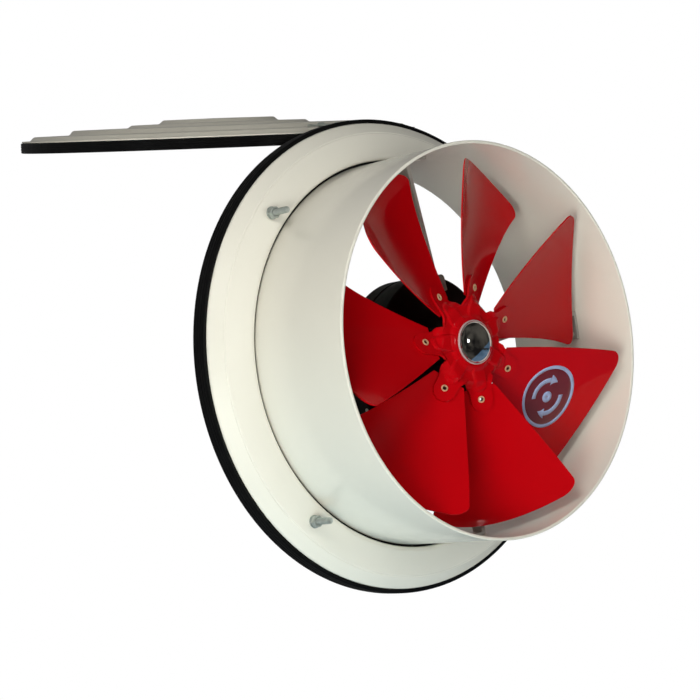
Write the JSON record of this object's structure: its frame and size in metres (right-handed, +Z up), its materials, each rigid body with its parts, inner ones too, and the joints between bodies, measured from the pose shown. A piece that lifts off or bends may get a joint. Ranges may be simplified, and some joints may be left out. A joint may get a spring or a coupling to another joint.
{
  "type": "shutter exhaust fan",
  "caption": "Round wall exhaust fan: duct tube, dished flange with rubber edge, bladed impeller on a motor held by flat arms, and a round top-hinged shutter lid.",
  "frame": {"origin": "on the fan axis, in the plane of the front face of the flange's rubber edge, where the fan seats on the wall", "axes": "+Y along the fan axis from the open mouth to the shutter side, +Z up, +X to the right seen from the mouth"},
  "size_m": [0.4482, 0.5568, 0.5043],
  "materials": {
    "cream_paint": "gloss stove enamel",
    "shutter_paint": "satin enamel",
    "black_rubber": "ribbed extruded rubber",
    "red_paint": "gloss enamel",
    "black_paint": "satin enamel",
    "zinc_plate": "zinc plated",
    "core_steel": "bare laminations and ground shaft",
    "chrome_plate": "bright chrome",
    "brass_eyelet": "tinned brass eyelet",
    "label_film": "printed plastic film"
  },
  "bodies": {
    "housing": {"duct_tube": "cream_paint", "wall_flange": "cream_paint", "hinge_bracket": "cream_paint", "motor_arm_1": "cream_paint", "motor_arm_2": "cream_paint", "motor_arm_3": "cream_paint", "motor_arm_4": "cream_paint", "flange_seal": "black_rubber", "motor_front": "black_paint", "motor_rear": "black_paint", "cable_gland": "black_paint", "stud_1": "zinc_plate", "stud_2": "zinc_plate", "stud_3": "zinc_plate", "stud_4": "zinc_plate", "stud_washer_1": "zinc_plate", "stud_washer_2": "zinc_plate", "stud_washer_3": "zinc_plate", "stud_washer_4": "zinc_plate", "stud_nut_1": "zinc_plate", "stud_nut_2": "zinc_plate", "stud_nut_3": "zinc_plate", "stud_nut_4": "zinc_plate", "arm_screw_1": "zinc_plate", "arm_screw_2": "zinc_plate", "arm_screw_3": "zinc_plate", "arm_screw_4": "zinc_plate", "front_bearing": "zinc_plate", "rear_bearing": "zinc_plate", "hinge_pin": "zinc_plate", "stator_core": "core_steel"},
    "impeller": {"rotor_core": "core_steel", "motor_shaft": "core_steel", "hub_sleeve": "black_paint", "shaft_nut": "zinc_plate", "hub_cap": "chrome_plate", "hub_spider": "red_paint", "blade_label": "label_film", "blade_1": "red_paint", "blade_2": "red_paint", "blade_3": "red_paint", "blade_4": "red_paint", "blade_5": "red_paint", "blade_6": "red_paint", "blade_7": "red_paint", "eyelet_1": "brass_eyelet", "eyelet_2": "brass_eyelet", "eyelet_3": "brass_eyelet", "eyelet_4": "brass_eyelet", "eyelet_5": "brass_eyelet", "eyelet_6": "brass_eyelet", "eyelet_7": "brass_eyelet"},
    "shutter": {"shutter_disc": "shutter_paint", "shutter_seal": "black_rubber", "hinge_leaf": "zinc_plate", "leaf_rivet_1": "zinc_plate", "leaf_rivet_2": "zinc_plate"}
  },
  "joints": [
    {"name": "impeller_spin", "type": "hinge", "parent": "housing", "child": "impeller", "pos_m": [0, 0, 0], "axis": [0, -1, 0], "continuous": true},
    {"name": "shutter_hinge", "type": "hinge", "parent": "housing", "child": "shutter", "pos_m": [0, 0.014, 0.20944], "axis": [-1, 0, 0], "range_deg": [0, 98.8]}
  ]
}
